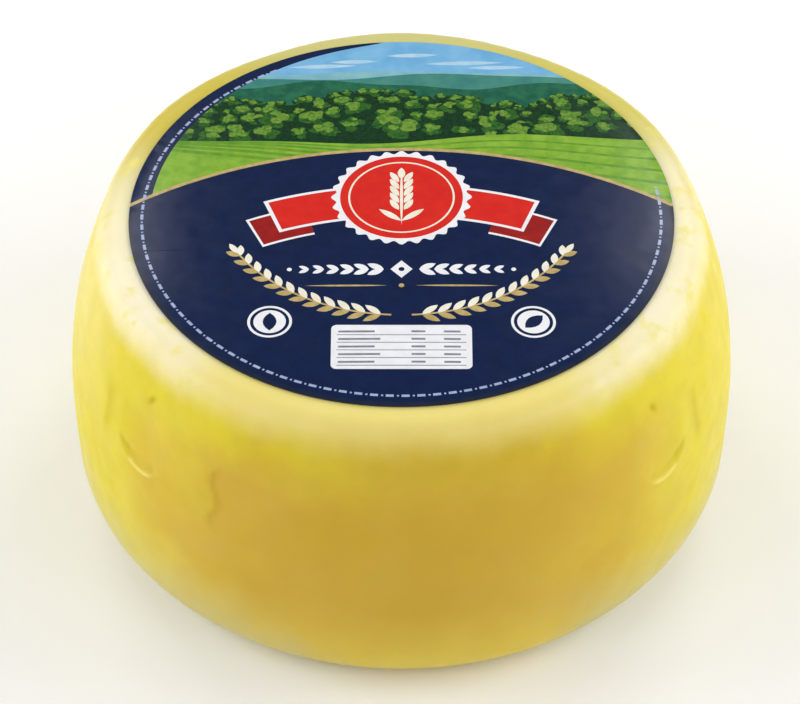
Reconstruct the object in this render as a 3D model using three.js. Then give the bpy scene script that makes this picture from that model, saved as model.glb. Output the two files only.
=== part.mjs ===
// A reggianito cheese wheel: a low drum of hard cheese in one piece, widest a little below the middle of its
// bulging side, and the round label that lies on its slightly crowned top. Millimetres, +Z up. The wheel rests on
// z = 0 with its axis on the Z axis, and its front faces -Y. Bearings turn from +X towards +Y.

import * as THREE from "three";

const { degToRad, smoothstep } = THREE.MathUtils;

// Driving dimensions of the wheel
const WHEEL_RADIUS = 125; // at the widest ring
const WHEEL_HEIGHT = 126; // at the middle of the crowned top
const WIDEST_HEIGHT = 49; // level of the widest ring
const UPPER_SIDE_RADIUS = 195; // arc of the side above the widest ring
const LOWER_SIDE_RADIUS = 500; // arc of the side below it, nearly upright
const SHOULDER_RADIUS = 10; // rounding from the side to the top
const FOOT_RADIUS = 24; // rounding from the side to the base
const CROWN_DROP = 2; // fall of the top from its middle to the shoulder
const CROWN_EDGE_SLOPE = degToRad(3.5); // slope of the top where the shoulder begins

// Driving dimensions of the label
const LABEL_RADIUS = 100.4;
const LABEL_THICKNESS = 0.5;
const LABEL_GAP = 0.3; // clearance under the label, all over

// Unevenness left by the mould: waves round the side, the second kind only near the shoulder
const SIDE_WAVES = { count: 2, size: 0.2, phase: 0.7 };
const SHOULDER_WAVES = { count: 7, size: 0.55, phase: degToRad(-270) }; // with a crest at the back, at +Y

// Gentle waves across the top: two crossing directions, each with its share of x and y
const TOP_WAVE_SIZE = 0.2;
const TOP_WAVE_LENGTH = 150;
const TOP_WAVE_DIRECTION = new THREE.Vector2(1, 0.4);
const TOP_CROSS_DIRECTION = new THREE.Vector2(-0.3, 0.8);

// Shallow round dents in the side, pressed in where the wheel is held
const DENT_RADIUS = 16;
const DENT_DEPTH = 1.2;
const DENTS = [
  { bearing: degToRad(-141), height: 88 },
  { bearing: degToRad(-39), height: 85 },
];

// Mesh fineness
const SEGMENTS = 96; // round the axis
const CROWDING = 0.55; // how far segments crowd together at the four diagonal bearings, 0 for even spacing
const FOOT_STEPS = 7;
const LOWER_SIDE_STEPS = 4;
const UPPER_SIDE_STEPS = 18;
const SHOULDER_STEPS = 6;
const CROWN_STEPS = 5;
const ON_AXIS = 1e-6; // a point nearer to the axis than this stays on it

// Tangent arcs of the wheel's outline, in the plane of radius and height: each rounding touches its side arc
// from inside, so its centre lies on a circle about the side arc's centre
const shoulderCentreHeight = WHEEL_HEIGHT - CROWN_DROP - SHOULDER_RADIUS * Math.cos(CROWN_EDGE_SLOPE);
const shoulderReach = UPPER_SIDE_RADIUS - SHOULDER_RADIUS;
const shoulderAngle = Math.asin((shoulderCentreHeight - WIDEST_HEIGHT) / shoulderReach);
const footReach = LOWER_SIDE_RADIUS - FOOT_RADIUS;
const footAngle = Math.asin((WIDEST_HEIGHT - FOOT_RADIUS) / footReach);
const upperSideCentre = new THREE.Vector2(WHEEL_RADIUS - UPPER_SIDE_RADIUS, WIDEST_HEIGHT);
const lowerSideCentre = new THREE.Vector2(WHEEL_RADIUS - LOWER_SIDE_RADIUS, WIDEST_HEIGHT);
const shoulderCentre = new THREE.Vector2(
  upperSideCentre.x + shoulderReach * Math.cos(shoulderAngle),
  shoulderCentreHeight,
);
const footCentre = new THREE.Vector2(lowerSideCentre.x + footReach * Math.cos(footAngle), FOOT_RADIUS);

// The crown falls as a power of the radius, and meets the shoulder at the stated slope
const crownEdgeRadius = shoulderCentre.x + SHOULDER_RADIUS * Math.sin(CROWN_EDGE_SLOPE);
const crownPower = (crownEdgeRadius * Math.tan(CROWN_EDGE_SLOPE)) / CROWN_DROP;

function crownHeight(radius) {
  return WHEEL_HEIGHT - CROWN_DROP * (radius / crownEdgeRadius) ** crownPower;
}

function arcPoints(centre, radius, fromAngle, toAngle, steps) {
  return new THREE.ArcCurve(centre.x, centre.y, radius, fromAngle, toAngle, false).getPoints(steps);
}

// Points of the crown from the axis to the label's rim, evenly spaced and raised by a set amount
function crownPoints(rise) {
  const radii = Array.from({ length: CROWN_STEPS + 1 }, (_, i) => (LABEL_RADIUS * i) / CROWN_STEPS);
  return radii.map((radius) => new THREE.Vector2(radius, crownHeight(radius) + rise));
}

// The wheel's outline from the middle of the base, up the side, to the middle of the top
function wheelProfile() {
  const quarter = Math.PI / 2;
  const shoulderEnd = quarter - CROWN_EDGE_SLOPE;
  const foot = arcPoints(footCentre, FOOT_RADIUS, -quarter, -footAngle, FOOT_STEPS);
  const lowerSide = arcPoints(lowerSideCentre, LOWER_SIDE_RADIUS, -footAngle, 0, LOWER_SIDE_STEPS);
  const upperSide = arcPoints(upperSideCentre, UPPER_SIDE_RADIUS, 0, shoulderAngle, UPPER_SIDE_STEPS);
  const shoulder = arcPoints(shoulderCentre, SHOULDER_RADIUS, shoulderAngle, shoulderEnd, SHOULDER_STEPS);
  // Neighbouring arcs share their end point, so each later one drops its first
  return [
    new THREE.Vector2(0, 0),
    ...foot,
    ...lowerSide.slice(1),
    ...upperSide.slice(1),
    ...shoulder.slice(1),
    ...crownPoints(0).reverse(),
  ];
}

// The label's outline: its underside out to the rim, then its printed face back to the axis
function labelProfile() {
  return [...crownPoints(LABEL_GAP), ...crownPoints(LABEL_GAP + LABEL_THICKNESS).reverse()];
}

// Moves an even bearing towards the nearest diagonal, where the dents need a finer mesh
function crowdedBearing(bearing) {
  return bearing + (CROWDING / 4) * Math.sin(4 * bearing);
}

// How far the side stands out from the true outline. The flat base and the rings under the label stay true
function swell(bearing, radius, height) {
  const onSide = smoothstep(height, 0, FOOT_RADIUS) * smoothstep(radius, LABEL_RADIUS, crownEdgeRadius);
  const onShoulder = smoothstep(height, WIDEST_HEIGHT, shoulderCentreHeight);
  const sideWave = SIDE_WAVES.size * Math.cos(SIDE_WAVES.count * bearing + SIDE_WAVES.phase);
  const shoulderWave = SHOULDER_WAVES.size * Math.cos(SHOULDER_WAVES.count * bearing + SHOULDER_WAVES.phase);
  return onSide * (sideWave + onShoulder * shoulderWave);
}

// How deep the dents lie under a place on the side
function dentDepth(bearing, height) {
  let depth = 0;
  for (const dent of DENTS) {
    const turn = Math.atan2(Math.sin(bearing - dent.bearing), Math.cos(bearing - dent.bearing));
    const apart = Math.hypot(turn * WHEEL_RADIUS, height - dent.height) / DENT_RADIUS;
    if (apart < 1) depth += DENT_DEPTH * (1 - apart ** 2) ** 2;
  }
  return depth;
}

// Waves across the top, shared by the wheel and its label, fading out down the shoulder
function topRise(x, y, height) {
  const place = new THREE.Vector2(x, y).multiplyScalar((2 * Math.PI) / TOP_WAVE_LENGTH);
  const wave = Math.sin(place.dot(TOP_WAVE_DIRECTION)) * Math.cos(place.dot(TOP_CROSS_DIRECTION));
  return TOP_WAVE_SIZE * wave * smoothstep(height, shoulderCentreHeight, WHEEL_HEIGHT - CROWN_DROP);
}

// Turns an outline round the Z axis, then gives every point its share of the unevenness
function turnedSolid(profile) {
  const geometry = new THREE.LatheGeometry(profile, SEGMENTS).rotateX(Math.PI / 2);
  const points = geometry.getAttribute("position");
  for (let i = 0; i < points.count; i++) {
    const height = points.getZ(i);
    const trueRadius = Math.hypot(points.getX(i), points.getY(i));
    if (trueRadius < ON_AXIS) continue;
    const bearing = crowdedBearing(Math.atan2(points.getY(i), points.getX(i)));
    const radius = trueRadius + swell(bearing, trueRadius, height) - dentDepth(bearing, height);
    const x = radius * Math.cos(bearing);
    const y = radius * Math.sin(bearing);
    points.setXYZ(i, x, y, height + topRise(x, y, height));
  }
  geometry.computeVertexNormals();
  return geometry;
}

function piece(name, geometry, material) {
  const mesh = new THREE.Mesh(geometry, material);
  mesh.name = name;
  return mesh;
}

const rind = new THREE.MeshStandardMaterial({ color: 0xdcc43c, roughness: 0.42, metalness: 0 });
const printedFilm = new THREE.MeshStandardMaterial({ color: 0x16234f, roughness: 0.25, metalness: 0 });

const cheese = new THREE.Group();
cheese.add(piece("cheese_wheel", turnedSolid(wheelProfile()), rind));
cheese.add(piece("label", turnedSolid(labelProfile()), printedFilm));

export default cheese;
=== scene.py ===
import math

import bpy
import numpy as np
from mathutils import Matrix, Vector
from mathutils.geometry import delaunay_2d_cdt


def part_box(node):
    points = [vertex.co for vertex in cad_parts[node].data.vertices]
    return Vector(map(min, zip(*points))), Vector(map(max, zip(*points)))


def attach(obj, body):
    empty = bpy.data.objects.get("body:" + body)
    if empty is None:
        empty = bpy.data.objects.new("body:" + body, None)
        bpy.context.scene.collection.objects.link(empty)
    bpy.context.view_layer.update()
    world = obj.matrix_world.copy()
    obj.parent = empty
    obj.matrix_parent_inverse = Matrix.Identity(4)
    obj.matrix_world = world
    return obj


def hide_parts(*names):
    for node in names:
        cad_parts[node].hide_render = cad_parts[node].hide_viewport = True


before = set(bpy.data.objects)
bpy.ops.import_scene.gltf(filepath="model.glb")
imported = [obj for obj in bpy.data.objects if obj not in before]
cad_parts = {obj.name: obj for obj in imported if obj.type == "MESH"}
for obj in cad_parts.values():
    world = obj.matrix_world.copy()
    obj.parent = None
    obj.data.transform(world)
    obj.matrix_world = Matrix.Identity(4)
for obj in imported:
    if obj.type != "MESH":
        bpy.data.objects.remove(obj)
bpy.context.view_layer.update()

# A wheel of reggianito: the rind with its grip marks, and the round printed label on its crowned top.
# Metres, +Z up. The wheel stands on z = 0 and its front faces -Y. Bearings turn from +X towards +Y.

# Driving dimensions of the wheel, the same as the solids have
MM = 0.001
WHEEL_RADIUS = 125 * MM  # at the widest ring
WHEEL_HEIGHT = 126 * MM  # at the middle of the crowned top
WIDEST_HEIGHT = 49 * MM
UPPER_SIDE_RADIUS = 195 * MM  # arc of the side above the widest ring
LOWER_SIDE_RADIUS = 500 * MM  # arc of the side below it
SHOULDER_RADIUS = 10 * MM
FOOT_RADIUS = 24 * MM
CROWN_DROP = 2 * MM
CROWN_EDGE_SLOPE = math.radians(3.5)
LABEL_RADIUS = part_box("label")[1].x
LABEL_THICKNESS = 0.5 * MM
LABEL_GAP = 0.3 * MM
FRONT_SHORTFALL = 1.4 * MM  # how much short of its full radius the label ends at the front

# Unevenness left by the mould: waves round the side, and waves across the top
SIDE_WAVE = dict(count=2, size=0.2 * MM, phase=0.7)
SHOULDER_WAVE = dict(count=7, size=0.55 * MM, phase=math.radians(-270))
TOP_WAVE_SIZE = 0.2 * MM
TOP_WAVE_LENGTH = 150 * MM
TOP_WAVE_DIRECTION = np.array([1, 0.4])
TOP_CROSS_DIRECTION = np.array([-0.3, 0.8])

# The two grip marks: a shallow dent with a crisp lower rim, a pit over it and a crease outside it
DENT_RADIUS = 16 * MM
DENT_DEPTH = 1.2 * MM
GRIP_MARKS = [
    dict(bearing=math.radians(-141), height=88 * MM, front=1),
    dict(bearing=math.radians(-39), height=85 * MM, front=-1),
]

# Tangent arcs of the wheel's outline, in the plane of radius and height
SHOULDER_HEIGHT = WHEEL_HEIGHT - CROWN_DROP - SHOULDER_RADIUS * math.cos(CROWN_EDGE_SLOPE)
SHOULDER_REACH = UPPER_SIDE_RADIUS - SHOULDER_RADIUS
SHOULDER_ANGLE = math.asin((SHOULDER_HEIGHT - WIDEST_HEIGHT) / SHOULDER_REACH)
FOOT_REACH = LOWER_SIDE_RADIUS - FOOT_RADIUS
FOOT_ANGLE = math.asin((WIDEST_HEIGHT - FOOT_RADIUS) / FOOT_REACH)
UPPER_SIDE_CENTRE = (WHEEL_RADIUS - UPPER_SIDE_RADIUS, WIDEST_HEIGHT)
LOWER_SIDE_CENTRE = (WHEEL_RADIUS - LOWER_SIDE_RADIUS, WIDEST_HEIGHT)
SHOULDER_CENTRE = (UPPER_SIDE_CENTRE[0] + SHOULDER_REACH * math.cos(SHOULDER_ANGLE), SHOULDER_HEIGHT)
FOOT_CENTRE = (LOWER_SIDE_CENTRE[0] + FOOT_REACH * math.cos(FOOT_ANGLE), FOOT_RADIUS)
CROWN_EDGE_RADIUS = SHOULDER_CENTRE[0] + SHOULDER_RADIUS * math.sin(CROWN_EDGE_SLOPE)
CROWN_POWER = CROWN_EDGE_RADIUS * math.tan(CROWN_EDGE_SLOPE) / CROWN_DROP

# The photograph's frame, and the pixel at which it shows the wheel's axis half way up
FRAME_PIXELS = (800, 704)
AXIS_PIXEL = (401.45, 337.6)
CAMERA_DISTANCE = 1.5
CAMERA_ELEVATION = math.radians(44.2)
FOCAL_PIXELS = 3957
SENSOR_WIDTH = 36  # in millimetres, as the camera takes it


def smoothstep(x, low, high):
    """0 below low, 1 above high, and a soft course between them."""
    share = np.clip((x - low) / (high - low), 0, 1)
    return share * share * (3 - 2 * share)


def within(x, start, full, leaving, end):
    """0 up to start, 1 from full to leaving, and 0 again from end."""
    return smoothstep(x, start, full) * (1 - smoothstep(x, leaving, end))


def hump(x, middle, width):
    """1 at the middle, and fading out to both sides."""
    return np.exp(-(((x - middle) / width) ** 2))


def linear(red, green, blue):
    """A display colour, 0 to 255, as the linear colour that shaders take."""
    shares = [value / 255 for value in (red, green, blue)]
    return tuple(s / 12.92 if s <= 0.04045 else ((s + 0.055) / 1.055) ** 2.4 for s in shares) + (1,)


# Form of the wheel


def crown_height(radius):
    return WHEEL_HEIGHT - CROWN_DROP * (radius / CROWN_EDGE_RADIUS) ** CROWN_POWER


def top_rise(x, y, height):
    """Waves across the top, which fade out down the shoulder."""
    turns = np.stack([x, y], -1) * (2 * math.pi / TOP_WAVE_LENGTH)
    waves = np.sin(turns @ TOP_WAVE_DIRECTION) * np.cos(turns @ TOP_CROSS_DIRECTION)
    return TOP_WAVE_SIZE * waves * smoothstep(height, SHOULDER_HEIGHT, WHEEL_HEIGHT - CROWN_DROP)


def on_side(radius, height):
    """1 on the side and shoulder, 0 on the flat base and under the label."""
    return smoothstep(height, 0, FOOT_RADIUS) * smoothstep(radius, LABEL_RADIUS, CROWN_EDGE_RADIUS)


def wave_round(bearing, count, size, phase):
    return size * np.cos(count * bearing + phase)


def swell(bearing, radius, height):
    """How far the mould's waves stand out from the true outline."""
    on_shoulder = smoothstep(height, WIDEST_HEIGHT, SHOULDER_HEIGHT)
    waves = wave_round(bearing, **SIDE_WAVE) + on_shoulder * wave_round(bearing, **SHOULDER_WAVE)
    return on_side(radius, height) * waves


# Relief of the rind. A span is where a form starts, is full, starts to fade and ends

RIM_RADIUS = 14.8 * MM  # the deepest line of the crisp lower rim, round the dent's centre
RIM_SPAN = (-150, -116, -62, -38)  # in degrees round the dent
RIM_DEPTH = 0.55 * MM
RIM_INSIDE = 4.5 * MM  # how far inside that line the floor starts to fall
RIM_WALL = 1.7 * MM  # width of the steep wall outside it
LIP_HEIGHT = 0.24 * MM
LIP_WIDTH = 1.0 * MM
# Where a painted highlight lies along each dent's lip: its span round the dent, and its width
LIP_HIGHLIGHT_SPAN = (-117, -106, -76, -58)  # in degrees round the dent
LIP_HIGHLIGHT_WIDTH = 0.65 * MM

# Each nick's angle round the dent, distance from its centre and strength
NICKS = [(-138, 15.2 * MM, 0.8), (-123, 13.9 * MM, 1.0), (-104, 13.2 * MM, 0.45), (-62, 13.9 * MM, 0.3)]
NICK_LENGTH = 2.4 * MM
NICK_WIDTH = 1.4 * MM
NICK_DEPTH = 0.25 * MM
# How far painted shade darkens the nicks
NICK_SHADE = 0.7

PIT_PLACE = (1.8 * MM, 15.6 * MM)
PIT_REACH = (1.9 * MM, 1.7 * MM)  # to the side, and up
PIT_LEAN = 0.7  # how far the pit rises for each step towards the front
PIT_DEPTH = 0.3 * MM

CREASE_ACROSS = -24 * MM
CREASE_BOW = 8.0  # per metre: how strongly the crease's ends curve away from the dent
CREASE_BOW_MIDDLE = -3 * MM
CREASE_HEIGHT_SPAN = (-20 * MM, -9 * MM, 1 * MM, 11 * MM)
CREASE_STEP_SPAN = (-0.6 * MM, 1.8 * MM, 3 * MM, 13 * MM)
CREASE_DEPTH = 0.25 * MM
# Painted shade along the crease: how strong, and the band it lies in
CREASE_SHADE = 0.4
CREASE_SHADE_BAND = (1.6 * MM, 3 * MM)  # its middle and width

FOLD_BEARING = math.radians(-123.9)
FOLD_HEIGHT = 84 * MM
FOLD_SCALLOP = 1.6 * MM  # how far the fold swings to each side
FOLD_SCALLOP_PITCH = 3 * MM  # the height in which the swing turns by a radian
FOLD_HEIGHT_SPAN = (-22 * MM, -10 * MM, 6 * MM, 14 * MM)
FOLD_STEP_SPAN = (-0.8 * MM, 1.4 * MM, 4 * MM, 26 * MM)
FOLD_DEPTH = 0.35 * MM
# Where the ochre painted shade is deeper on the fold's right, and lighter lemon on its left
FOLD_OCHRE_SPAN = (-0.2 * MM, 1.2 * MM, 6 * MM, 40 * MM)
FOLD_LEMON_SPAN = (-24 * MM, -3 * MM, -1 * MM, 0.4 * MM)
# Painted shade along the fold: how strong, and the band it lies in
FOLD_LINE_SHADE = 0.45
FOLD_LINE_SHADE_BAND = (1.1 * MM, 1.6 * MM)

BROAD_RIPPLES = dict(counts=(8, 30), lengths=(40 * MM, 110 * MM), size=0.22 * MM, draws=12, seed=4)
FINE_RIPPLES = dict(counts=(45, 95), lengths=(14 * MM, 40 * MM), size=0.16 * MM, draws=14, seed=9)
FINE_RIPPLE_HEIGHTS = (92 * MM, 112 * MM)  # where they set in, up the side


def dent(across, up):
    apart = np.clip(np.hypot(across, up) / DENT_RADIUS, 0, 1)
    return DENT_DEPTH * (1 - apart**2) ** 2


def round_dent(across, up):
    """A place's distance from the dent's centre, and its angle round it in degrees."""
    return np.hypot(across, up), np.degrees(np.arctan2(up, across))


def lower_rim(across, up):
    """A crescent along the dent's lower edge: a groove with a steep outer wall and a slight lip."""
    apart, angle = round_dent(across, up)
    floor = hump(apart, RIM_RADIUS, RIM_INSIDE)
    wall = 1 - smoothstep(apart, RIM_RADIUS, RIM_RADIUS + RIM_WALL)
    lip = hump(apart, RIM_RADIUS + RIM_WALL + LIP_WIDTH / 2, LIP_WIDTH)
    groove = RIM_DEPTH * np.where(apart < RIM_RADIUS, floor, wall)
    return within(angle, *RIM_SPAN) * (groove - LIP_HEIGHT * lip)


def nicks(across, up):
    """Short nicks along the rim, from 0 to 1."""
    apart, angle = round_dent(across, up)
    share = np.zeros_like(across)
    for nick_angle, nick_apart, strength in NICKS:
        along = np.radians(angle - nick_angle) * apart
        share += strength * hump(along, 0, NICK_LENGTH) * hump(apart, nick_apart, NICK_WIDTH)
    return share


def pit(across, up):
    """The round pit over the dent, from 0 to 1."""
    beside = across - PIT_PLACE[0]
    above = up - PIT_PLACE[1] - PIT_LEAN * beside
    return hump(beside, 0, PIT_REACH[0]) * hump(above, 0, PIT_REACH[1])


def past_crease(across, up):
    """How far a place lies past the crease, towards the dent, and the crease's strength there."""
    beyond = across - CREASE_ACROSS + CREASE_BOW * (up - CREASE_BOW_MIDDLE) ** 2
    return beyond, within(up, *CREASE_HEIGHT_SPAN)


def crease(across, up):
    """A soft step down towards the dent, along an upright line outside it."""
    beyond, strength = past_crease(across, up)
    return CREASE_DEPTH * strength * within(beyond, *CREASE_STEP_SPAN)


def past_fold(bearing, height):
    """How far a place lies to the right of the front fold, and the fold's strength at its level."""
    up = height - FOLD_HEIGHT
    beyond = (bearing - FOLD_BEARING) * WHEEL_RADIUS + FOLD_SCALLOP * np.sin(up / FOLD_SCALLOP_PITCH)
    return beyond, within(up, *FOLD_HEIGHT_SPAN)


def front_fold(bearing, height):
    """A faint scalloped step on the left of the front."""
    beyond, strength = past_fold(bearing, height)
    return FOLD_DEPTH * strength * within(beyond, *FOLD_STEP_SPAN)


def fold_shade_side(bearing, height):
    """How much more ochre painted shade the rind has: up to 1 on the fold's right, and down to -1 on its
    left.
    """
    beyond, strength = past_fold(bearing, height)
    return strength * (within(beyond, *FOLD_OCHRE_SPAN) - within(beyond, *FOLD_LEMON_SPAN))


def mark_places(bearing, height):
    """For each grip mark, how far towards the front and how far up a place lies from its middle."""
    for mark in GRIP_MARKS:
        turn = bearing - mark["bearing"]
        turn = np.arctan2(np.sin(turn), np.cos(turn))
        yield turn * WHEEL_RADIUS * mark["front"], height - mark["height"]


def grip_marks(bearing, height):
    """How deep the two grip marks lie under a place on the side."""
    depth = np.zeros_like(bearing)
    for across, up in mark_places(bearing, height):
        depth += dent(across, up) + lower_rim(across, up) + crease(across, up)
        depth += NICK_DEPTH * nicks(across, up) + PIT_DEPTH * pit(across, up)
    return depth


def shade_in_marks(bearing, height):
    """How far painted shade darkens the nicks, pits, creases and fold, from 0 to 1."""
    beyond, strength = past_fold(bearing, height)
    share = FOLD_LINE_SHADE * strength * hump(beyond, *FOLD_LINE_SHADE_BAND)
    for across, up in mark_places(bearing, height):
        beyond, strength = past_crease(across, up)
        share += NICK_SHADE * nicks(across, up) + pit(across, up)
        share += CREASE_SHADE * strength * hump(beyond, *CREASE_SHADE_BAND)
    return np.clip(share, 0, 1)


def lip_highlight(bearing, height):
    """How far a painted highlight brightens the dents' lips, from 0 to 1."""
    share = np.zeros_like(bearing)
    for across, up in mark_places(bearing, height):
        apart, angle = round_dent(across, up)
        share += within(angle, *LIP_HIGHLIGHT_SPAN) * hump(apart, RIM_RADIUS + RIM_WALL, LIP_HIGHLIGHT_WIDTH)
    return share


def ripples(bearing, height, counts, lengths, size, draws, seed):
    """Uneven dips up to size deep: draws crossing waves, each with a whole count round the wheel."""
    random = np.random.default_rng(seed)
    total = np.zeros_like(bearing)
    for _ in range(draws):
        count = random.integers(*counts)
        rise = random.choice([-1, 1]) / random.uniform(*lengths)
        total += np.cos(count * bearing + 2 * math.pi * rise * height + random.uniform(0, 2 * math.pi))
    return size * (0.5 + 0.5 * np.tanh(total / math.sqrt(draws)))


def rind_depth(bearing, radius, height):
    """How far the rind's relief lies under the swollen outline."""
    broad = ripples(bearing, height, **BROAD_RIPPLES)
    fine = ripples(bearing, height, **FINE_RIPPLES) * smoothstep(height, *FINE_RIPPLE_HEIGHTS)
    loose = on_side(radius, height) * (broad + fine)
    return loose + front_fold(bearing, height) + grip_marks(bearing, height)


# The rind's mesh: rings up the outline, closer together where the marks are

FINE_STEP = 0.1 * MM
BEARING_STEPS = 7200
RINGS = 168
COLUMNS = 560
MARK_HEIGHTS = (52 * MM, 112 * MM)
MARK_HALF_WIDTH = (22 * MM, 32 * MM)  # full density up to the first, and none added past the second
UNDER_LABEL = 2 * MM  # how far under the label's edge the rings are still close

# How densely the rings lie on the base and under the label, and what is added elsewhere
HIDDEN_DENSITY = 0.12
SIDE_DENSITY = 0.55
MARK_DENSITY = 1.3
SHOULDER_DENSITY = 1.1
MARK_COLUMN_DENSITY = 2.6  # added at the marks to the columns' density of 1


def arc(centre, radius, start, end):
    """Points of an arc in the plane of radius and height, FINE_STEP apart."""
    angle = np.linspace(start, end, max(2, round((end - start) * radius / FINE_STEP)))
    return np.stack([centre[0] + radius * np.cos(angle), centre[1] + radius * np.sin(angle)], 1)


def wheel_profile():
    """(radius, height) along the outline, from the middle of the base to the middle of the top."""
    quarter = math.pi / 2
    base_radii = np.arange(0, FOOT_CENTRE[0], FINE_STEP)
    crown_radii = np.arange(CROWN_EDGE_RADIUS, 0, -FINE_STEP)
    return np.concatenate([
        np.stack([base_radii, 0 * base_radii], 1),
        arc(FOOT_CENTRE, FOOT_RADIUS, -quarter, -FOOT_ANGLE),
        arc(LOWER_SIDE_CENTRE, LOWER_SIDE_RADIUS, -FOOT_ANGLE, 0)[1:],
        arc(UPPER_SIDE_CENTRE, UPPER_SIDE_RADIUS, 0, SHOULDER_ANGLE)[1:],
        arc(SHOULDER_CENTRE, SHOULDER_RADIUS, SHOULDER_ANGLE, quarter - CROWN_EDGE_SLOPE)[1:],
        np.stack([crown_radii, crown_height(crown_radii)], 1)[1:],
        [[0, WHEEL_HEIGHT]],
    ])


def spread(places, density, count):
    """count values along places, closer together where the density is higher."""
    total = np.concatenate([[0], np.cumsum((density[1:] + density[:-1]) / 2 * np.diff(places))])
    return np.interp(np.linspace(0, total[-1], count), total, places)


def ring_outline():
    """The (radius, height) of each ring."""
    profile = wheel_profile()
    travel = np.concatenate([[0], np.cumsum(np.hypot(*np.diff(profile, axis=0).T))])
    radius, height = profile.T
    outside = radius > LABEL_RADIUS - UNDER_LABEL
    on_mark = outside & (height > MARK_HEIGHTS[0]) & (height < MARK_HEIGHTS[1])
    on_shoulder = outside & (height >= MARK_HEIGHTS[1])
    density = HIDDEN_DENSITY + SIDE_DENSITY * (outside & (height > FINE_STEP))
    density = density + MARK_DENSITY * on_mark + SHOULDER_DENSITY * on_shoulder
    stops = spread(travel, density, RINGS)
    return np.interp(stops, travel, radius), np.interp(stops, travel, height)


def column_bearings():
    """The bearing of each column."""
    places = np.linspace(-math.pi, math.pi, BEARING_STEPS)
    density = np.ones_like(places)
    for mark in GRIP_MARKS:
        apart = np.abs(places - mark["bearing"]) * WHEEL_RADIUS
        density += MARK_COLUMN_DENSITY * (1 - smoothstep(apart, *MARK_HALF_WIDTH))
    return spread(places, density, COLUMNS + 1)[:-1]


def keep_in_box(points, node):
    """The points, none of them outside the box of the solid that they stand for."""
    low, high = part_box(node)
    return np.clip(points, low, high)


def new_piece(name, points, faces):
    mesh = bpy.data.meshes.new(name)
    mesh.from_pydata([tuple(point) for point in points], [], faces)
    mesh.validate()
    mesh.shade_smooth()
    piece = bpy.data.objects.new(name, mesh)
    bpy.context.scene.collection.objects.link(piece)
    return piece


def rind_faces(base_middle):
    """Faces between the rings, and a fan at each end. The fans' middles are the last two points."""
    top_middle = base_middle + 1
    last_ring = base_middle - COLUMNS
    faces = []
    for column in range(COLUMNS):
        beside = (column + 1) % COLUMNS
        faces.append((base_middle, beside, column))
        for below in range(0, last_ring, COLUMNS):
            above = below + COLUMNS
            faces.append((below + column, below + beside, above + beside, above + column))
        faces.append((last_ring + column, last_ring + beside, top_middle))
    return faces


def make_rind():
    ring_radius, ring_height = ring_outline()
    bearing, radius = np.meshgrid(column_bearings(), ring_radius[1:-1])
    height = np.broadcast_to(ring_height[1:-1, None], radius.shape)
    radius = radius + swell(bearing, radius, height) - rind_depth(bearing, radius, height)
    x = radius * np.cos(bearing)
    y = radius * np.sin(bearing)
    rings = np.stack([x, y, height + top_rise(x, y, height)], -1).reshape(-1, 3)
    points = np.concatenate([rings, [[0, 0, 0], [0, 0, WHEEL_HEIGHT]]])
    piece = new_piece("rind", keep_in_box(points, "cheese_wheel"), rind_faces(len(rings)))
    # Shares of painted shade in the marks, painted highlight on the lips, and ochre painted shade beside
    # the fold
    for name, share in (("shade_in_marks", shade_in_marks), ("lip_highlight", lip_highlight), ("fold_shade_side", fold_shade_side)):
        values = np.zeros(len(points))
        values[:len(rings)] = share(bearing, height).ravel()
        piece.data.attributes.new(name, "FLOAT", "POINT").data.foreach_set("value", values)
    piece.data.materials.append(rind_material())
    return piece


# Shader nodes


def feed(tree, socket, value):
    """Links a socket to another node's socket, or sets it to any other value."""
    if isinstance(value, bpy.types.NodeSocket):
        tree.links.new(value, socket)
    else:
        socket.default_value = value


def add(tree, kind, inputs=None, **settings):
    """A new shader node with its settings, and its inputs by name or number."""
    made = tree.nodes.new(kind)
    for name, value in settings.items():
        setattr(made, name, value)
    for name, value in (inputs or {}).items():
        feed(tree, made.inputs[name], value)
    return made


def mixed(tree, share, first, second):
    """The colour between first and second, the node's inputs 6 and 7. Output 2 is a colour."""
    return add(tree, "ShaderNodeMix", {0: share, 6: first, 7: second}, data_type="RGBA").outputs[2]


def place(tree):
    """Where on the piece a point lies, in metres."""
    return tree.nodes["place"].outputs["Object"]


def noise(tree, size, detail=3, roughness=0.5):
    """Noise from 0 to 1 whose patches are about size metres across."""
    inputs = {"Vector": place(tree), "Scale": 1 / size, "Detail": detail, "Roughness": roughness}
    return add(tree, "ShaderNodeTexNoise", inputs).outputs[0]


def ranged(tree, value, low, high, new_low=0, new_high=1, kind="SMOOTHSTEP"):
    """value taken from the range low to high into the range new_low to new_high."""
    inputs = {"Value": value, "From Min": low, "From Max": high, "To Min": new_low, "To Max": new_high}
    return add(tree, "ShaderNodeMapRange", inputs, interpolation_type=kind).outputs["Result"]


def wander(tree, size, low, high, detail=3, roughness=0.5, kind="SMOOTHSTEP"):
    """A value that drifts between low and high, in patches about size metres across."""
    return ranged(tree, noise(tree, size, detail, roughness), 0.3, 0.7, low, high, kind)


def spots(tree, size, detail, roughness, start, full, most):
    """Soft spots where noise is high: 0 up to start, and most from full."""
    return ranged(tree, noise(tree, size, detail, roughness), start, full, 0, most)


def maths(tree, operation, first, second=0):
    return add(tree, "ShaderNodeMath", {0: first, 1: second}, operation=operation).outputs[0]


def plus(tree, first, second):
    return maths(tree, "ADD", first, second)


def times(tree, first, second):
    return maths(tree, "MULTIPLY", first, second)


def vector_maths(tree, operation, *inputs):
    return add(tree, "ShaderNodeVectorMath", dict(enumerate(inputs)), operation=operation).outputs


def mesh_share(tree, name):
    """A share that the mesh holds for each of its points."""
    return add(tree, "ShaderNodeAttribute", attribute_name=name).outputs["Fac"]


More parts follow.
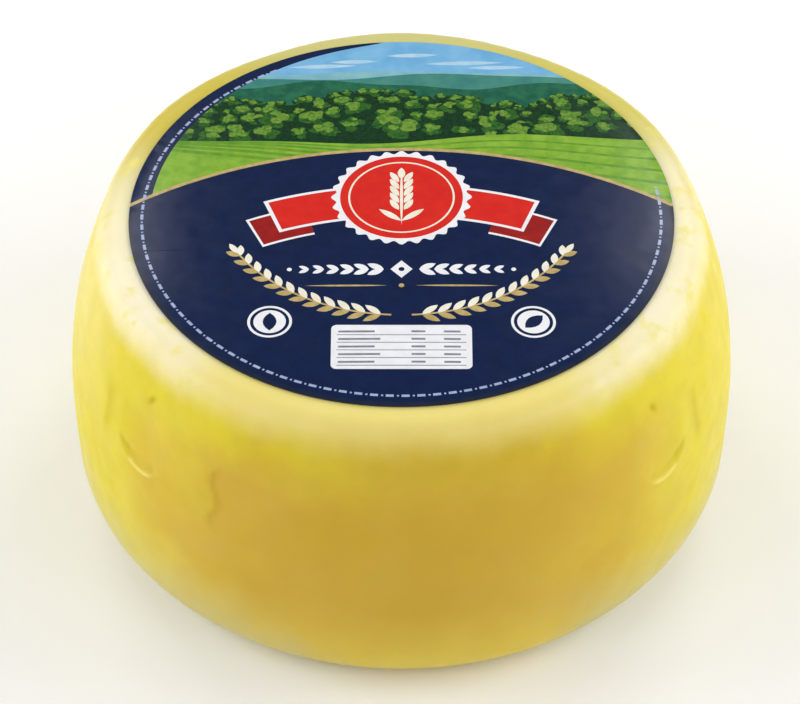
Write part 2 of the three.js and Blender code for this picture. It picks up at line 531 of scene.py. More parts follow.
def bumped(tree, strength, distance, height):
    inputs = {"Strength": strength, "Distance": distance, "Height": height}
    return add(tree, "ShaderNodeBump", inputs).outputs["Normal"]


def new_material(name):
    material = bpy.data.materials.new(name)
    material.use_nodes = True
    tree = material.node_tree
    tree.nodes.clear()
    add(tree, "ShaderNodeTexCoord", name="place")
    return material, tree


def close_material(tree, inputs):
    """Ends a material in a surface shader with these inputs."""
    surface = add(tree, "ShaderNodeBsdfPrincipled", inputs)
    add(tree, "ShaderNodeOutputMaterial", {"Surface": surface.outputs["BSDF"]})


# The rind's material

LEMON = linear(221, 203, 2)
# Ochre is painted shade, where the rind turns to the front and back, away from the side lights
SHADE_OCHRE = linear(206, 166, 26)
# The paler shoulder band with painted light in it: a cream painted highlight at the left and right, and
# painted shade towards the back. The front one also colours the random patches
SIDE_BLOOM_AND_HIGHLIGHT = linear(247, 238, 206)
FRONT_BLOOM_AND_HIGHLIGHT = linear(238, 221, 128)
BACK_BLOOM_AND_SHADE = linear(205, 200, 128)
BACK_RIGHT_BLOOM_AND_SHADE = linear(205, 193, 80)
BACK_LEFT_BLOOM_AND_SHADE = linear(204, 184, 48)
SIDE_FOOT = linear(204, 194, 122)
FRONT_FOOT = linear(224, 201, 66)
YOLK = linear(234, 224, 100)
# A dark olive: painted shade in the marks' hollows, and also the random smudges
STAIN_AND_SHADE = linear(172, 148, 4)
# Painted highlight on the dents' lips
LIP_HIGHLIGHT = linear(250, 236, 132)

# Directions from the axis
FRONT = (0, -1, 0)
# The painted shade on the back of the shoulder band
BACK = (-0.06, 1, 0)  # the shoulder is darkest a little to the left
LEFT = (-1, 0, 0)

# Ranges of how far the rind turns from the left and right, 0, to the very front and back, 1
OCHRE_SHADE_TURN = (0.44, 0.96)
BLOOM_AND_HIGHLIGHT_TURN = (0.5, 0.94)
MIDDLE_TURN = (0.82, 1)
RISE_TURN = (0.1, 0.5)
TURN_UNEVEN = 0.08
TURN_PATCH = 45 * MM

# Ranges of how far it faces the back or the left, from -1 to 1
BACK_TURN = (0, 0.56)
QUARTER_TURN = (0.05, 0.4)
BACK_MIDDLE_TURN = (0.76, 1.02)
RIGHT_TO_LEFT = (-0.3, 0.5)
FAR_LEFT = (0.86, 1)

# Edges between two colours: the heights that the change takes, and how the edge wanders
FOOT_EDGE = dict(low=2 * MM, high=50 * MM, patch=14 * MM, uneven=3 * MM)
# A painted sheen of cream over the far left side: the heights that it takes
LEFT_SHEEN_EDGE = dict(low=56 * MM, high=104 * MM, patch=20 * MM, uneven=4 * MM)
# The ochre painted shade fades out up towards the shoulder, where the top light falls
OCHRE_SHADE_EDGE = dict(low=86 * MM, high=116 * MM, patch=20 * MM, uneven=3 * MM)
BLOOM_AND_HIGHLIGHT_EDGE = dict(low=108.7 * MM, high=126 * MM, patch=15 * MM, uneven=1.3 * MM)
SIDE_BLOOM_AND_HIGHLIGHT_RISE = 2.7 * MM  # how much higher the edge of the shoulder band and its painted highlight lies at the left and right

# Spots that show where noise is between start and full, and how far they cover at most
PATCHES = dict(size=30 * MM, detail=4, roughness=0.5, start=0.35, full=0.75, most=0.07)
SMUDGES = dict(size=13 * MM, detail=4, roughness=0.6, start=0.36, full=0.68, most=0.13)
DABS = dict(size=9 * MM, detail=3, roughness=0.6, start=0.51, full=0.7, most=0.6)

# How far other tints cover at most
QUARTER_COVER = 0.9
OCHRE_SHADE_TOP_LOSS = 0.3  # of the ochre painted shade's fading near the shoulder, at the very front
LEFT_SHEEN_COVER = 0.2
FOLD_OCHRE_SHADE = 0.17
MARK_SHADE_COVER = 0.6
LIP_HIGHLIGHT_COVER = 0.6


def height_share(tree, low, high, patch, uneven, rise=0):
    """0 below low and 1 above high. The edge wanders up and down, and is raised by rise."""
    level = add(tree, "ShaderNodeSeparateXYZ", {"Vector": place(tree)}).outputs["Z"]
    shift = wander(tree, patch, -uneven, uneven, 4, 0.6, "LINEAR")
    return ranged(tree, maths(tree, "SUBTRACT", plus(tree, level, shift), rise), low, high)


def facing(tree, direction):
    """How far a place on the rind faces a level direction, from -1 to 1."""
    flat = vector_maths(tree, "MULTIPLY", place(tree), (1, 1, 0))[0]
    away = vector_maths(tree, "NORMALIZE", flat)[0]
    return vector_maths(tree, "DOT_PRODUCT", away, direction)["Value"]


def turn_to_middle(tree):
    """0 at the left and right, 1 at the front and back, and an uneven course between."""
    uneven = wander(tree, TURN_PATCH, -TURN_UNEVEN, TURN_UNEVEN)
    return plus(tree, maths(tree, "ABSOLUTE", facing(tree, FRONT)), uneven)


def side_colour(tree, turn):
    """Lemon turning to ochre painted shade at the front and back, with patches, smudges and a painted
    sheen at the left.
    """
    # Painted shade: ochre at the front and back, fading out up towards the shoulder
    at_middle = ranged(tree, turn, *MIDDLE_TURN)
    fading = ranged(tree, at_middle, 0, 1, 1, OCHRE_SHADE_TOP_LOSS)
    fading = times(tree, height_share(tree, **OCHRE_SHADE_EDGE), fading)
    ochre = times(tree, ranged(tree, turn, *OCHRE_SHADE_TURN), maths(tree, "SUBTRACT", 1, fading))
    # The front's painted shade follows the fold
    ochre = plus(tree, ochre, times(tree, mesh_share(tree, "fold_shade_side"), FOLD_OCHRE_SHADE))
    side = mixed(tree, ochre, LEMON, SHADE_OCHRE)
    side = mixed(tree, spots(tree, **PATCHES), side, FRONT_BLOOM_AND_HIGHLIGHT)
    side = mixed(tree, spots(tree, **SMUDGES), side, STAIN_AND_SHADE)
    # A painted sheen over the far left side
    left_sheen = ranged(tree, facing(tree, LEFT), *FAR_LEFT, 0, LEFT_SHEEN_COVER)
    side = mixed(tree, times(tree, left_sheen, height_share(tree, **LEFT_SHEEN_EDGE)), side, SIDE_BLOOM_AND_HIGHLIGHT)
    foot = mixed(tree, at_middle, SIDE_FOOT, FRONT_FOOT)
    return mixed(tree, height_share(tree, **FOOT_EDGE), foot, side)


def bloom_and_highlight_colour(tree, turn):
    """The paler shoulder band with painted light: a cream painted highlight at the left and right,
    yellower at the front, and a yellower, darker painted shade at the back, with small yellow dabs.
    """
    at_front = ranged(tree, turn, *BLOOM_AND_HIGHLIGHT_TURN)
    bloom_and_highlight = mixed(tree, at_front, SIDE_BLOOM_AND_HIGHLIGHT, FRONT_BLOOM_AND_HIGHLIGHT)
    backness = facing(tree, BACK)
    to_left = ranged(tree, facing(tree, LEFT), *RIGHT_TO_LEFT)
    quarter = mixed(tree, to_left, BACK_RIGHT_BLOOM_AND_SHADE, BACK_LEFT_BLOOM_AND_SHADE)
    before_middle = ranged(tree, backness, *BACK_MIDDLE_TURN, 1, 0)
    at_quarter = times(tree, ranged(tree, backness, *QUARTER_TURN, 0, QUARTER_COVER), before_middle)
    back = mixed(tree, at_quarter, BACK_BLOOM_AND_SHADE, quarter)
    bloom_and_highlight = mixed(tree, ranged(tree, backness, *BACK_TURN), bloom_and_highlight, back)
    dabs = times(tree, spots(tree, **DABS), maths(tree, "SUBTRACT", 1, at_front))
    return mixed(tree, dabs, bloom_and_highlight, YOLK)


def rind_colour(tree, shaded):
    """The side with the paler shoulder band and its painted highlight over it, painted shade in the
    marks, and a painted highlight on their lips.
    """
    turn = turn_to_middle(tree)
    # The shoulder band with its painted highlight, whose edge lies higher at the left and right
    rise = ranged(tree, turn, *RISE_TURN, SIDE_BLOOM_AND_HIGHLIGHT_RISE, 0)
    on_shoulder = height_share(tree, **BLOOM_AND_HIGHLIGHT_EDGE, rise=rise)
    colour = mixed(tree, on_shoulder, side_colour(tree, turn), bloom_and_highlight_colour(tree, turn))
    # Painted shade in the nicks, pits, creases and fold
    colour = mixed(tree, ranged(tree, shaded, 0, 1, 0, MARK_SHADE_COVER, "LINEAR"), colour, STAIN_AND_SHADE)
    # A painted highlight along the dents' lips
    lit_lip = ranged(tree, mesh_share(tree, "lip_highlight"), 0, 1, 0, LIP_HIGHLIGHT_COVER, "LINEAR")
    return mixed(tree, lit_lip, colour, LIP_HIGHLIGHT)


def rind_material():
    """Waxy rind with a fine grain, duller in the marks."""
    material, tree = new_material("waxy_rind")
    shaded = mesh_share(tree, "shade_in_marks")
    grain = noise(tree, 0.9 * MM, 4, 0.6)
    lumps = noise(tree, 7 * MM)
    close_material(tree, {
        "Base Color": rind_colour(tree, shaded),
        "Roughness": wander(tree, 11 * MM, 0.36, 0.5, detail=4),
        "Normal": bumped(tree, 0.25, 0.25 * MM, plus(tree, times(tree, grain, 0.12), lumps)),
        "Specular IOR Level": ranged(tree, shaded, 0, 1, 0.42, 0.12, "LINEAR"),
        "Subsurface Weight": 0.2,
        "Subsurface Radius": (1.0, 0.6, 0.15),
        "Subsurface Scale": 5 * MM,
    })
    return material


# The label's inks: two display colours that each wanders between, and its patches' size in mm

INKS = {
    "navy": ((3, 24, 63), (7, 29, 71), 6),
    "edge": ((20, 30, 52), (24, 34, 60), 6),
    "sky": ((104, 168, 212), (128, 184, 220), 14),
    "cloud": ((160, 200, 224), (180, 210, 228), 5),
    "haze": ((116, 172, 186), (136, 186, 194), 9),
    "far_hill": ((56, 122, 116), (72, 138, 124), 9),
    "near_hill": ((18, 84, 66), (40, 108, 76), 5),
    "wood": ((6, 42, 22), (16, 62, 26), 1.6),
    "grove": ((18, 72, 26), (58, 108, 34), 1.3),
    "bush": ((66, 116, 36), (122, 156, 58), 1.3),
    "meadow": ((112, 160, 44), (140, 180, 58), 6),
    "furrow": ((88, 140, 40), (112, 158, 48), 5),
    "gold": ((176, 152, 92), (198, 176, 118), 3),
    "cream": ((232, 226, 204), (242, 238, 222), 4),
    "white": ((232, 232, 236), (240, 240, 243), 5),
    "grey": ((120, 124, 138), (140, 144, 156), 3),
    "red": ((208, 34, 26), (216, 42, 30), 6),
    "deep_red": ((142, 22, 22), (158, 28, 24), 5),
    "pale_blue": ((150, 164, 200), (166, 180, 210), 3),
}


def ink_material(name, colour, second, patch):
    """Glossy print in one ink, on a sheet that isn't quite taut."""
    material, tree = new_material(name)
    fibres = times(tree, noise(tree, 1.2 * MM), 0.03)
    slack = plus(tree, noise(tree, 22 * MM, 2), fibres)
    close_material(tree, {
        "Base Color": mixed(tree, wander(tree, patch, 0, 1, 4, 0.6), colour, second),
        "Roughness": wander(tree, 9 * MM, 0.13, 0.19),
        "Specular IOR Level": 0.29,
        "Normal": bumped(tree, 0.25, 0.4 * MM, slack),
    })
    return material


# The label's print, drawn on a disc of radius 100. Later shapes cover earlier ones. Angles are in
# degrees and turn from the right towards the top

DISC = 100
PRINT_SCALE = LABEL_RADIUS / DISC
CENTRE = (0, 0)
UP = 90


def at_angle(centre, radius, degrees):
    """The point of a circle at an angle."""
    angle = math.radians(degrees)
    return centre[0] + radius * math.cos(angle), centre[1] + radius * math.sin(angle)


def spaced(start, end, steps):
    """Evenly spaced values from start to end."""
    return [start + (end - start) * i / steps for i in range(steps + 1)]


def circle(centre, radius, steps):
    return [at_angle(centre, radius, 360 * i / steps) for i in range(steps)]


def band(centre, inner, outer, start, end, steps):
    """A stretch of ring between two angles."""
    angles = spaced(start, end, steps)
    out = [at_angle(centre, outer, angle) for angle in angles]
    back = [at_angle(centre, inner, angle) for angle in reversed(angles)]
    return out + back


def leaf(x, y, length, width, heading, steps=6):
    """A pointed oval that starts at (x, y) and points along heading."""
    outline = []
    for i in range(2 * steps):
        side = 1 if i <= steps else -1
        share = i / steps if i <= steps else 2 - i / steps
        half_width = width / 2 * math.sin(math.pi * share) ** 0.8
        spine = at_angle((x, y), length * share, heading)
        outline.append(at_angle(spine, side * half_width, heading + 90))
    return outline


def rounded_box(x, y, width, height, corner):
    """A box with its middle at (x, y)."""
    outline = []
    for turn, (side, level) in enumerate([(1, 1), (-1, 1), (-1, -1), (1, -1)]):
        middle = (x + side * (width / 2 - corner), y + level * (height / 2 - corner))
        outline += [at_angle(middle, corner, 90 * turn + 18 * i) for i in range(6)]
    return outline


def scalloped(centre, radius, scallops, depth):
    """A circle with a wavy edge, 8 points to a wave."""
    turns = [45 * i / scallops for i in range(8 * scallops)]
    waves = [depth * math.cos(math.radians(scallops * turn)) for turn in turns]
    return [at_angle(centre, radius + wave, turn) for turn, wave in zip(turns, waves)]


# Landscape in the label's upper part

CREST_STEPS = 60
STRIPE_STEPS = 40
GROUND_FLOOR = -20

# Each cloud's middle and length
CLOUDS = [(-30, 84, 26), (-18, 87, 18), (24, 86, 30), (36, 83.5, 22), (4, 91, 20)]

# Crest lines: the level, how far the hills swing, their length and their phase
HILLS = [("haze", 80, 1.2, 26, 1.4), ("far_hill", 78, 1.8, 21, 0.4), ("near_hill", 73, 2.2, 15, 3.3)]
WOOD_CREST = (64, 3.4, 15, 2.1)
FIELD_CREST = (41, 2.6, 30, -0.6)

# Rows of trees: how far under the wood's crest, and the trees' size
TREE_ROWS = [(-0.5, 3.2), (4.5, 4.6), (11, 6.4), (18.5, 7)]
TREE_PITCH = 1.55  # times the size
TREE_SEED = 21
WOOD_EDGE = 94
GROVE_MASSES = 8
BUSH_MASSES = 7
FURROWS = 5


def ground(crest):
    """Everything under a crest line, right across the disc."""
    edge = DISC + 4
    line = [(x, crest(x)) for x in spaced(edge, -edge, CREST_STEPS)]
    return [(-edge, GROUND_FLOOR), (edge, GROUND_FLOOR)] + line


def rolling(level, swing, length, phase):
    """A crest line of soft hills, as a function of x."""
    def crest(x):
        hills = math.sin(x / length + phase)
        knolls = 0.35 * math.sin(2.3 * x / length + 2 * phase)
        return level + swing * (hills + knolls)
    return crest


def leaf_mass(random, x, y, size, points=8):
    """An uneven rounded patch, a little wider than high."""
    outline = []
    for i in range(points):
        angle = 2 * math.pi * (i + random.uniform(-0.25, 0.25)) / points
        reach = size * random.uniform(0.78, 1.15)
        outline.append((x + 1.15 * reach * math.cos(angle), y + 0.85 * reach * math.sin(angle)))
    return outline


def leafy_tree(random, x, y, size):
    """A dark crown, with leaf masses that get lighter and smaller towards its upper left."""
    yield "wood", leaf_mass(random, x, y, size, 13)
    bush_masses = round(BUSH_MASSES * random.uniform(0.5, 1.3))
    layers = [("grove", GROVE_MASSES, 0.15, 0.6, 0.36), ("bush", bush_masses, 0.4, 0.42, 0.27)]
    for ink, count, rise, reach, scale in layers:
        for _ in range(count):
            turn = random.uniform(0, 2 * math.pi)
            away = reach * size * math.sqrt(random.random())
            mass_x = x + 1.15 * away * math.cos(turn) - 0.3 * rise * size
            mass_y = y + 0.8 * away * math.sin(turn) + rise * size
            mass_size = size * scale * random.uniform(0.6, 1.2)
            yield ink, leaf_mass(random, mass_x, mass_y, mass_size)


def trees(crest):
    """Rows of trees down from a crest line, each row in front of the one above it."""
    random = np.random.default_rng(TREE_SEED)
    for drop, size in TREE_ROWS:
        for x in np.arange(-WOOD_EDGE, WOOD_EDGE + 1, TREE_PITCH * size):
            beside = x + random.uniform(-0.4, 0.4) * size
            level = crest(x) - drop + random.uniform(-1.4, 1.4)
            yield from leafy_tree(random, beside, level, size * random.uniform(0.6, 1.25))


def furrow(field, row):
    """A stripe across the field. The rows get wider and steeper towards the front."""
    upper = 1.6 * row + 0.35 * row**2
    lower = upper + 0.7 + 0.22 * row
    slant = 0.03 * row
    xs = spaced(DISC + 2, -DISC - 2, STRIPE_STEPS)
    top = [(x, field(x) - upper - slant * x) for x in xs]
    bottom = [(x, field(x) - lower - slant * x) for x in reversed(xs)]
    return top + bottom


def crescent(start, tip, width):
    """A strip along the disc's edge that is width wide at the start and thins out towards its tip."""
    shares = spaced(0, 1, CREST_STEPS)
    angles = [start + (tip - start) * share for share in shares]
    reaches = [DISC - width * math.cos(math.pi / 2 * share) ** 0.6 for share in shares]
    outer = [at_angle(CENTRE, DISC + 1, angle) for angle in angles]
    inner = [at_angle(CENTRE, reach, angle) for reach, angle in zip(reaches, angles)]
    return outer + inner[::-1]


def landscape():
    """Sky, hills, woods and striped fields, with a navy strip at the left."""
    yield "sky", circle(CENTRE, DISC + 2, 96)
    for x, y, length in CLOUDS:
        yield "cloud", leaf(x - length / 2, y, length, width=2.4, heading=2)
    for ink, *crest in HILLS:
        yield ink, ground(rolling(*crest))
    wood = rolling(*WOOD_CREST)
    yield "wood", ground(wood)
    yield from trees(wood)
    field = rolling(*FIELD_CREST)
    yield "meadow", ground(field)
    for row in range(1, FURROWS + 1):
        yield "furrow", furrow(field, row)
    yield "navy", crescent(start=180, tip=94, width=7.5)


# Layout of the label's lower part

ARCH_CENTRE = (0, -150)
ARCH_RADIUS = 184
ARCH_LINE = 1.6
ARCH_START = 55
ARCH_END = 125

RIBBON_CENTRE = (0, -130)
RIBBON_RADII = (127, 145)
RIBBON_SPAN = (69.5, 110.5)  # in degrees
RIBBON_INK_SPAN = (70.1, 109.9)
RIBBON_HEM = 1.2
TAIL_RADII = (122, 138)
TAIL_START = 15
TAIL_ANGLE = 9.4
TAIL_HEM = 1
TAIL_END_HEM = 0.4  # in degrees

SEAL_CENTRE = (0, 8)
SEAL_DISCS = [("red", 22.6), ("cream", 19.6), ("red", 18.9)]
GRAIN_ROWS = 5
GRAIN_PITCH = 3.8

GARLAND_LEVEL = -31
GARLAND_LEAVES = 6
GARLAND_START = 6.4
GARLAND_PITCH = 5.4
GARLAND_LEAN = 26
GOLD_LINE_LEVEL = GARLAND_LEVEL - 8.6

WREATH_CENTRE = (0, 15)
WREATH_RADIUS = 70
WREATH_LINE = 0.8
WREATH_START = 3
WREATH_END = 58
WREATH_LEAVES = 12
WREATH_FIRST_LEAF = 6
WREATH_PITCH = 4.6
WREATH_LEAN = 34

PANEL_MIDDLE = (0, -71)
PANEL_SIZE = (50, 22)
PANEL_ROWS = 5
PANEL_PITCH = 3.8
PANEL_FIRST_ROW = 3.4  # down from the top edge

ROUNDEL_X = 47
ROUNDEL_Y = -58
ROUNDEL_DISCS = [("white", 8), ("navy", 7), ("white", 5.8)]

EDGE_INNER = 98.2
CHAIN_RADII = (94.6, 95.7)
CHAIN_PITCH = 360 / 108
CHAIN_DASHES = range(36, 111)  # numbered round the disc from the right
DASH_ANGLE = 1.7
DOT_RADIUS = 0.45
DOT_PLACE = 0.77  # of the pitch, from a dash's start


def navy_field():
    """The navy field under a golden arch."""
    arch = [at_angle(ARCH_CENTRE, ARCH_RADIUS, angle) for angle in range(ARCH_END, ARCH_START - 1, -1)]
    corners = [(DISC + 10, -DISC - 10), (-DISC - 10, -DISC - 10)]
    yield "navy", arch + corners
    yield "gold", band(ARCH_CENTRE, ARCH_RADIUS, ARCH_RADIUS + ARCH_LINE, ARCH_START, ARCH_END, 60)


def hemmed_band(ink, radii, hem, white_span, ink_span, steps):
    """A stretch of the ribbon in one ink, on a white one that stands out round it as a hem."""
    inner, outer = radii
    yield "white", band(RIBBON_CENTRE, inner, outer, *white_span, steps)
    yield ink, band(RIBBON_CENTRE, inner + hem, outer - hem, *ink_span, steps)


def ribbon():
    """A curved ribbon with folded tails, edged in white."""
    for side in (-1, 1):
        root = UP + side * TAIL_START
        tip = root + side * TAIL_ANGLE
        ink_tip = tip - side * TAIL_END_HEM
        yield from hemmed_band("deep_red", TAIL_RADII, TAIL_HEM, (root, tip), (root, ink_tip), 6)
    yield from hemmed_band("red", RIBBON_RADII, RIBBON_HEM, RIBBON_SPAN, RIBBON_INK_SPAN, 40)


def wheat_ear(x, y):
    """A wheat ear on a stem with two leaves."""
    yield "cream", leaf(x, y - 15, length=30, width=1.2, heading=UP)
    for row in range(GRAIN_ROWS):
        level = y - 7 + GRAIN_PITCH * row
        for side in (-1, 1):
            yield "cream", leaf(x + 0.9 * side, level, length=6.6, width=2.5, heading=UP - side * 30)
    yield "cream", leaf(x, y + 10, length=6.4, width=2.8, heading=UP)
    for side in (-1, 1):
        yield "cream", leaf(x, y - 13, length=10.5, width=2.6, heading=UP - side * 52)


def discs(centre, inks_and_radii, steps):
    """Circles in different inks on top of each other."""
    for ink, radius in inks_and_radii:
        yield ink, circle(centre, radius, steps)


def seal():
    """A round seal with a scalloped rim, and a wheat ear in it."""
    yield "white", scalloped(SEAL_CENTRE, radius=25, scallops=28, depth=0.9)
    yield from discs(SEAL_CENTRE, SEAL_DISCS, 72)
    yield from wheat_ear(*SEAL_CENTRE)


def garland():
    """A row of white leaves that shrink away from a lozenge, over a thin gold line."""
    y = GARLAND_LEVEL
    yield "white", [(4, y), (0, y + 4.6), (-4, y), (0, y - 4.6)]
    yield "navy", circle((0, y), 1.1, 16)
    for side in (-1, 1):
        outward = UP - side * 90
        for step in range(GARLAND_LEAVES):
            x = side * (GARLAND_START + GARLAND_PITCH * step)
            length = 6.6 - 0.5 * step
            for lean in (GARLAND_LEAN, -GARLAND_LEAN):
                yield "white", leaf(x, y, length, width=0.42 * length, heading=outward + side * lean)
        yield "white", circle((side * 40.5, y), 0.9, 16)
        yield "gold", leaf(side * 5, GOLD_LINE_LEVEL, length=30, width=0.9, heading=outward)
    yield "gold", circle((0, GOLD_LINE_LEVEL), 1, 16)


def wreath():
    """Two leafy branches that curve up from the bottom."""
    for side in (-1, 1):
        start = side * WREATH_START - UP
        end = side * WREATH_END - UP
        inner = WREATH_RADIUS - WREATH_LINE / 2
        yield "gold", band(WREATH_CENTRE, inner, inner + WREATH_LINE, start, end, 30)
        for step in range(WREATH_LEAVES):
            turn = side * (WREATH_FIRST_LEAF + WREATH_PITCH * step) - UP
            x, y = at_angle(WREATH_CENTRE, WREATH_RADIUS, turn)
            for lean, ink in ((WREATH_LEAN, "cream"), (-WREATH_LEAN, "gold")):
                heading = turn + side * (90 + lean)
                yield ink, leaf(x, y, length=7.4 - 0.15 * step, width=2.7, heading=heading)
        x, y = at_angle(WREATH_CENTRE, WREATH_RADIUS, end)
        yield "cream", leaf(x, y, length=6, width=2.4, heading=end + side * 90)


def panel():
    """A plain white panel with thin rules."""
    x, y = PANEL_MIDDLE
    width, height = PANEL_SIZE
    yield "white", rounded_box(x, y, width, height, 2)
    for row in range(PANEL_ROWS):
        level = y + height / 2 - PANEL_FIRST_ROW - PANEL_PITCH * row
        yield "grey", rounded_box(x, level - 1.6, width - 4, 0.4, 0.15)
        longer = row % 2
        for bar_x, bar_width in [(longer - 16, 13 + 2 * longer), (6, 5), (18, 6)]:
            yield "grey", rounded_box(x + bar_x, level, bar_width, 1, 0.3)


def roundels():
    """A ring with a drop on the left, and one with a leaf on the right."""
    for x in (-ROUNDEL_X, ROUNDEL_X):
        yield from discs((x, ROUNDEL_Y), ROUNDEL_DISCS, 48)
    yield "navy", leaf(-ROUNDEL_X, ROUNDEL_Y - 4.5, length=9, width=5, heading=UP)
    yield "navy", leaf(ROUNDEL_X - 3, ROUNDEL_Y - 3, length=9, width=5, heading=45)


def edge_ring():
    """The darker edge in three stretches, and a chain of dashes and dots inside it."""
    for start in (180, 241, 302):
        yield "edge", band(CENTRE, EDGE_INNER, DISC + 1, start, start + 61, 40)
    for i in CHAIN_DASHES:
        start = i * CHAIN_PITCH
        yield "pale_blue", band(CENTRE, *CHAIN_RADII, start, start + DASH_ANGLE, 2)
        dot = at_angle(CENTRE, sum(CHAIN_RADII) / 2, start + DOT_PLACE * CHAIN_PITCH)
        yield "pale_blue", circle(dot, DOT_RADIUS, 6)


def print_shapes():
    """Every (ink, outline) of the print, in the order in which they cover each other."""
    layers = (landscape, navy_field, ribbon, seal, garland, wreath, panel, roundels, edge_ring)
    return [shape for layer in layers for shape in layer()]


# The label's mesh: the print cut into triangles, each in one ink

GRID_STEP = 4  # of the print's 100
EDGE_STEPS = 360


def grid_points():
    """Points that keep the curved label's triangles small."""
    points = []
    for ring in range(1, DISC // GRID_STEP):
        radius = ring * GRID_STEP
        points += circle(CENTRE, radius, max(6, round(2 * math.pi * radius / GRID_STEP)))
    return points


def signed_area(outline):
    """Twice an outline's area, positive where it runs anticlockwise."""
    following = outline[1:] + outline[:1]
    return sum(a[0] * b[1] - b[0] * a[1] for a, b in zip(outline, following))


def cut_disc(shapes):
    """Cuts the disc along every outline. Returns its points, its triangles and each triangle's ink."""
    inks = ["navy"] + [ink for ink, _ in shapes]
    points = []
    loops = []
    for outline in [circle(CENTRE, DISC, EDGE_STEPS)] + [outline for _, outline in shapes]:
        loop = list(range(len(points), len(points) + len(outline)))
        loops.append(loop if signed_area(outline) > 0 else loop[::-1])
        points += outline
    points += grid_points()
    made = delaunay_2d_cdt([Vector(point) for point in points], [], loops, 1, 1e-5, True)
    cut_points, triangles, owners = made[0], made[2], made[5]
    inside = [i for i, covering in enumerate(owners) if 0 in covering]
    points, triangles = without_spare(cut_points, [triangles[i] for i in inside])
    return points, triangles, [inks[max(owners[i])] for i in inside]


def without_spare(points, triangles):
    """The points that the triangles use, and the triangles with the points' new numbers."""
    used = sorted({corner for triangle in triangles for corner in triangle})
    number = {old: new for new, old in enumerate(used)}
    renumbered = [tuple(number[corner] for corner in triangle) for triangle in triangles]
    return [tuple(points[i]) for i in used], renumbered


def rim_edges(triangles):
    """The edges that only one triangle has, in the direction in which it runs."""
    directed = {(triangle[i], triangle[(i + 1) % 3]) for triangle in triangles for i in range(3)}
    return sorted((a, b) for a, b in directed if (b, a) not in directed)


def crown_level(x, y, height):
    """The crowned top's height, with the waves as they are at a given height."""
    radius = np.minimum(np.hypot(x, y), LABEL_RADIUS)
    return crown_height(radius) + top_rise(x, y, height)


def unit(vectors):
    return vectors / np.linalg.norm(vectors, axis=1, keepdims=True)


def crown_normals(x, y, height):
    """The crowned top's own normals, which the print's long thin triangles would blur."""
    step = 0.1 * MM
    slope_x = (crown_level(x + step, y, height) - crown_level(x - step, y, height)) / (2 * step)
    slope_y = (crown_level(x, y + step, height) - crown_level(x, y - step, height)) / (2 * step)
    return unit(np.stack([-slope_x, -slope_y, np.ones_like(x)], 1))


def outward_normals(places):
    """Level normals that point away from the axis."""
    return unit(np.column_stack([places, np.zeros(len(places))]))


def make_label():
    """A thin sheet on the crown: the print on top, navy below and the edge's ink round its rim."""
    points, triangles, face_inks = cut_disc(print_shapes())
    flat = np.array(points) * PRINT_SCALE
    flat[:, 1] += FRONT_SHORTFALL / 2 * (1 - flat[:, 1] / LABEL_RADIUS)
    x, y = flat.T
    under = crown_height(np.minimum(np.hypot(x, y), LABEL_RADIUS)) + LABEL_GAP
    over = under + LABEL_THICKNESS
    top = np.stack([x, y, over + top_rise(x, y, over)], 1)
    bottom = np.stack([x, y, under + top_rise(x, y, under)], 1)
    below = len(points)
    rim = rim_edges(triangles)
    faces = triangles + [tuple(corner + below for corner in reversed(triangle)) for triangle in triangles]
    faces += [(b, a, a + below, b + below) for a, b in rim]
    piece = new_piece("printed_label", keep_in_box(np.concatenate([top, bottom]), "label"), faces)
    add_inks(piece, face_inks + ["navy"] * len(triangles) + ["edge"] * len(rim))
    up = crown_normals(x, y, over)
    corners = np.array(triangles)
    sides = [outward_normals(flat[[b, a, a, b]]) for a, b in rim]
    corner_normals = [up[corners].reshape(-1, 3), -up[corners[:, ::-1]].reshape(-1, 3)] + sides
    piece.data.normals_split_custom_set(np.concatenate(corner_normals).tolist())
    return piece


def add_inks(piece, face_inks):
    """Gives a piece every ink's material, and each of its faces its ink."""
    for name, (colour, second, patch) in INKS.items():
        material = ink_material("ink_" + name, linear(*colour), linear(*second), patch * MM)
        piece.data.materials.append(material)
    names = list(INKS)
    piece.data.polygons.foreach_set("material_index", [names.index(ink) for ink in face_inks])


# Stage, light and camera

FLOOR_HALF_SIZE = 4
FLOOR_LEVEL = -0.1 * MM
LIGHT_DISTANCE = 1.6
LIGHT_SIZE = 0.7
SKY_STRENGTH = 0.28

# The lights: azimuth from the front, elevation and watts
PAIRED_LIGHTS = [
    (40, 38, 1.8), (60, 12, 1.2), (60, 35, 2.7), (90, 12, 2.7),
    (90, 35, 6.0), (120, 12, 3.3), (150, 35, 4.5),
]
FRONT_LIGHT = (0, 30, 1.3)
BACK_RIGHT_LIGHT = (152, 36, 1)


def floor_material():
    material, tree = new_material("studio_floor")
    tone = noise(tree, 0.4, 2)
    close_material(tree, {
        "Base Color": mixed(tree, tone, (0.94, 0.94, 0.94, 1), (0.97, 0.97, 0.97, 1)),
        "Roughness": ranged(tree, tone, 0, 1, 0.6, 0.7),
        "Normal": bumped(tree, 0.05, 0.5 * MM, noise(tree, 3 * MM)),
    })
    return material


def make_floor():
    far = FLOOR_HALF_SIZE
    corners = [(-far, -far), (far, -far), (far, far), (-far, far)]
    floor = new_piece("floor", [(x, y, FLOOR_LEVEL) for x, y in corners], [(0, 1, 2, 3)])
    floor.data.materials.append(floor_material())


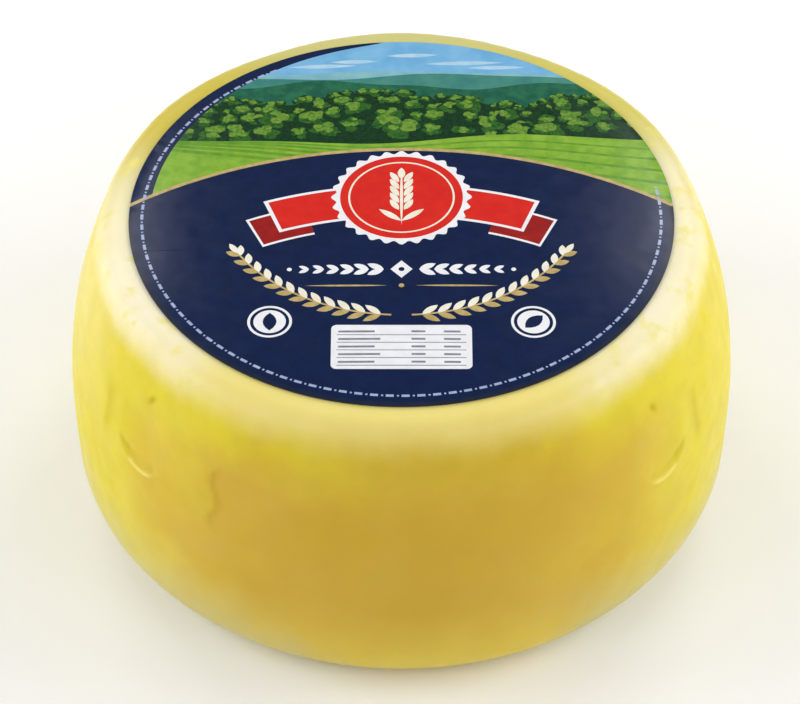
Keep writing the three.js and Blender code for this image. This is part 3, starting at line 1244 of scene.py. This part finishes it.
def softbox(name, azimuth, elevation, power):
    """A square light aimed at the wheel. Azimuth 0 is at the front, and 90 on the right."""
    a = math.radians(azimuth)
    e = math.radians(elevation)
    away = Vector((math.sin(a) * math.cos(e), -math.cos(a) * math.cos(e), math.sin(e)))
    lamp = bpy.data.lights.new(name, "AREA")
    lamp.shape = "SQUARE"
    lamp.size = LIGHT_SIZE
    lamp.energy = power
    light = bpy.data.objects.new(name, lamp)
    light.location = Vector((0, 0, WHEEL_HEIGHT / 2)) + away * LIGHT_DISTANCE
    light.rotation_euler = away.to_track_quat("Z", "Y").to_euler()
    bpy.context.scene.collection.objects.link(light)


def make_lights():
    for azimuth, elevation, power in PAIRED_LIGHTS:
        softbox("right_%d_%d" % (azimuth, elevation), azimuth, elevation, power)
        softbox("left_%d_%d" % (azimuth, elevation), -azimuth, elevation, power)
    softbox("front", *FRONT_LIGHT)
    softbox("back_right", *BACK_RIGHT_LIGHT)
    world = bpy.data.worlds.new("studio")
    world.use_nodes = True
    background = world.node_tree.nodes["Background"].inputs
    background["Color"].default_value = (1, 1, 1, 1)
    background["Strength"].default_value = SKY_STRENGTH
    bpy.context.scene.world = world


def make_camera():
    away = Vector((0, -math.cos(CAMERA_ELEVATION), math.sin(CAMERA_ELEVATION)))
    up = Vector((0, math.sin(CAMERA_ELEVATION), math.cos(CAMERA_ELEVATION)))
    metres_per_pixel = CAMERA_DISTANCE / FOCAL_PIXELS
    right_of_middle = (AXIS_PIXEL[0] - FRAME_PIXELS[0] / 2) * metres_per_pixel
    above_middle = (FRAME_PIXELS[1] / 2 - AXIS_PIXEL[1]) * metres_per_pixel
    aim = Vector((-right_of_middle, 0, WHEEL_HEIGHT / 2)) - up * above_middle
    lens = bpy.data.cameras.new("camera")
    lens.sensor_width = SENSOR_WIDTH
    lens.lens = FOCAL_PIXELS * SENSOR_WIDTH / FRAME_PIXELS[0]
    camera = bpy.data.objects.new("camera", lens)
    camera.location = aim + away * CAMERA_DISTANCE
    camera.rotation_euler = away.to_track_quat("Z", "Y").to_euler()
    bpy.context.scene.collection.objects.link(camera)
    bpy.context.scene.camera = camera


def main():
    bpy.context.scene.view_settings.view_transform = "Standard"
    make_camera()
    make_lights()
    make_floor()
    rind = make_rind()
    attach(rind, "root")
    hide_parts("cheese_wheel")
    label = make_label()
    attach(label, "root")
    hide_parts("label")


main()
